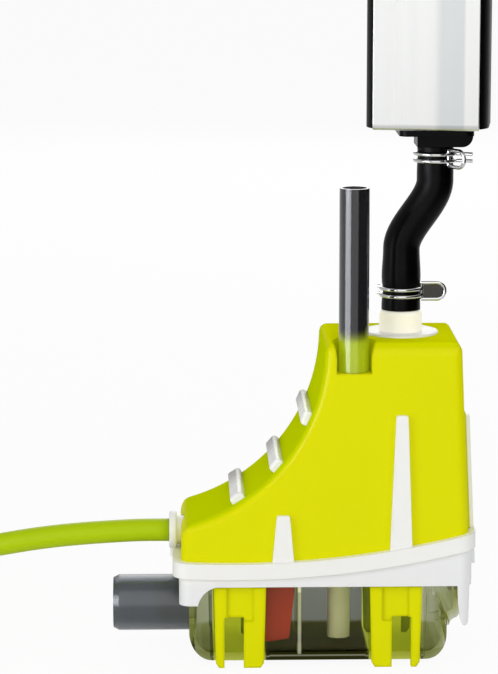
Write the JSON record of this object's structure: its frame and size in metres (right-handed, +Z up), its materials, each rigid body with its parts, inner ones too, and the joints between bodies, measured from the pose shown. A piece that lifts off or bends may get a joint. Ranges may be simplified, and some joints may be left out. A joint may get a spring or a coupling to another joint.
{
  "type": "condensate pump",
  "caption": "Small condensate pump: lime boot-shaped level unit over a clear snap-off reservoir with float, a rubber S-hose up to an oscillating piston pump, and a coiled supply cable.",
  "frame": {"origin": "on the resting surface, at the middle of the object's box measured without its cable", "axes": "+Z up; +X to the right, away from the inlet stub and the cable; -Y is the front, where the vent tube stands"},
  "size_m": [0.23, 0.1128, 0.214],
  "materials": {
    "lime_plastic": "satin moulded lime plastic",
    "white_plastic": "moulded white plastic",
    "cream_plastic": "natural plastic",
    "suction_plastic": "translucent white tube",
    "smoked_plastic": "smoked clear plastic",
    "clear_plastic": "clear olive plastic",
    "red_plastic": "red float",
    "magnet": "sintered magnet",
    "board": "circuit board",
    "chip": "moulded chip",
    "relay_plastic": "relay case",
    "capacitor_plastic": "capacitor coat",
    "screw_steel": "plated screw",
    "seal_rubber": "flat rubber seal",
    "hose_rubber": "smooth black rubber",
    "ring_rubber": "rubber ring",
    "spring_wire": "bright steel wire",
    "ear_steel": "dark thin plate",
    "black_plastic": "glossy black plastic",
    "coil_plastic": "black coil moulding",
    "nickel_steel": "bright nickel-plated steel",
    "pole_steel": "soft iron",
    "copper_wire": "enamelled copper wire",
    "brass_tube": "drawn brass",
    "ceramic": "white ceramic case",
    "terminal_brass": "brass tab",
    "piston_steel": "ground steel",
    "ball_steel": "polished ball",
    "cap_plastic": "plastic ring",
    "cable_jacket": "lime cable jacket",
    "tie_plastic": "black tie band",
    "core_plastic": "core insulation",
    "ferrule_metal": "tinned ferrule"
  },
  "bodies": {
    "base": {"housing": "lime_plastic", "chassis": "white_plastic", "grip_ribs": "white_plastic", "cable_gland": "white_plastic", "circuit_board": "board", "board_screws": "screw_steel", "hall_sensors": "chip", "relay": "relay_plastic", "capacitor": "capacitor_plastic", "reservoir_seal": "seal_rubber", "suction_tube": "suction_plastic", "top_spigot": "cream_plastic", "flange_washer": "white_plastic", "vent_tube": "smoked_plastic", "hose": "hose_rubber", "lower_hose_clip": "spring_wire", "ear_plate": "ear_steel", "upper_hose_clip": "spring_wire", "pump_nose": "black_plastic", "yoke": "nickel_steel", "yoke_plate": "nickel_steel", "coil_cover": "coil_plastic", "coil_bobbin": "coil_plastic", "coil_winding": "copper_wire", "pole_rings": "pole_steel", "guide_tube": "brass_tube", "o_rings": "ring_rubber", "thermal_cutout": "ceramic", "spade_terminals": "terminal_brass", "outlet_nozzle": "black_plastic", "outlet_ball_spring": "spring_wire", "lower_spring": "spring_wire", "upper_spring": "spring_wire", "cable": "cable_jacket", "cable_coil": "cable_jacket", "coil_ties": "tie_plastic", "cable_tail": "cable_jacket", "cable_cores": "core_plastic", "ferrules": "ferrule_metal"},
    "reservoir": {"reservoir": "clear_plastic", "inlet_stub": "smoked_plastic"},
    "float": {"float": "red_plastic", "float_magnet": "magnet"},
    "clip_front_left": {"clip_front_left": "lime_plastic"},
    "clip_front_right": {"clip_front_right": "lime_plastic"},
    "clip_back_left": {"clip_back_left": "lime_plastic"},
    "clip_back_right": {"clip_back_right": "lime_plastic"},
    "piston": {"piston": "piston_steel", "piston_cap": "cap_plastic", "piston_ball_spring": "spring_wire"},
    "piston_ball": {"piston_ball": "ball_steel"},
    "outlet_ball": {"outlet_ball": "ball_steel"}
  },
  "joints": [
    {"name": "reservoir_slide", "type": "slide", "parent": "base", "child": "reservoir", "axis": [0, 0, 1], "range_m": [-0.035, 0]},
    {"name": "float_slide", "type": "slide", "parent": "reservoir", "child": "float", "axis": [0, 0, 1], "range_m": [0, 0.0036]},
    {"name": "front_left_clip_bend", "type": "hinge", "parent": "base", "child": "clip_front_left", "pos_m": [-0.01719, -0.0172, 0.025], "axis": [-1, 0, 0], "range_deg": [0, 5], "stiffness_Nm_per_rad": 1.5},
    {"name": "front_right_clip_bend", "type": "hinge", "parent": "base", "child": "clip_front_right", "pos_m": [0.02571, -0.0172, 0.025], "axis": [-1, 0, 0], "range_deg": [0, 5], "stiffness_Nm_per_rad": 1.5},
    {"name": "back_left_clip_bend", "type": "hinge", "parent": "base", "child": "clip_back_left", "pos_m": [-0.01719, 0.0172, 0.025], "axis": [1, 0, 0], "range_deg": [0, 5], "stiffness_Nm_per_rad": 1.5},
    {"name": "back_right_clip_bend", "type": "hinge", "parent": "base", "child": "clip_back_right", "pos_m": [0.02571, 0.0172, 0.025], "axis": [1, 0, 0], "range_deg": [0, 5], "stiffness_Nm_per_rad": 1.5},
    {"name": "piston_slide", "type": "slide", "parent": "base", "child": "piston", "axis": [0, 0, 1], "range_m": [-0.002, 0.002], "stiffness_N_per_m": 400, "deforming": ["lower_spring", "upper_spring"]},
    {"name": "piston_ball_slide", "type": "slide", "parent": "piston", "child": "piston_ball", "axis": [0, 0, 1], "range_m": [0, 0.0008], "stiffness_N_per_m": 40, "deforming": ["piston_ball_spring"]},
    {"name": "outlet_ball_slide", "type": "slide", "parent": "base", "child": "outlet_ball", "axis": [0, 0, 1], "range_m": [0, 0.0008], "stiffness_N_per_m": 40, "deforming": ["outlet_ball_spring"]}
  ]
}
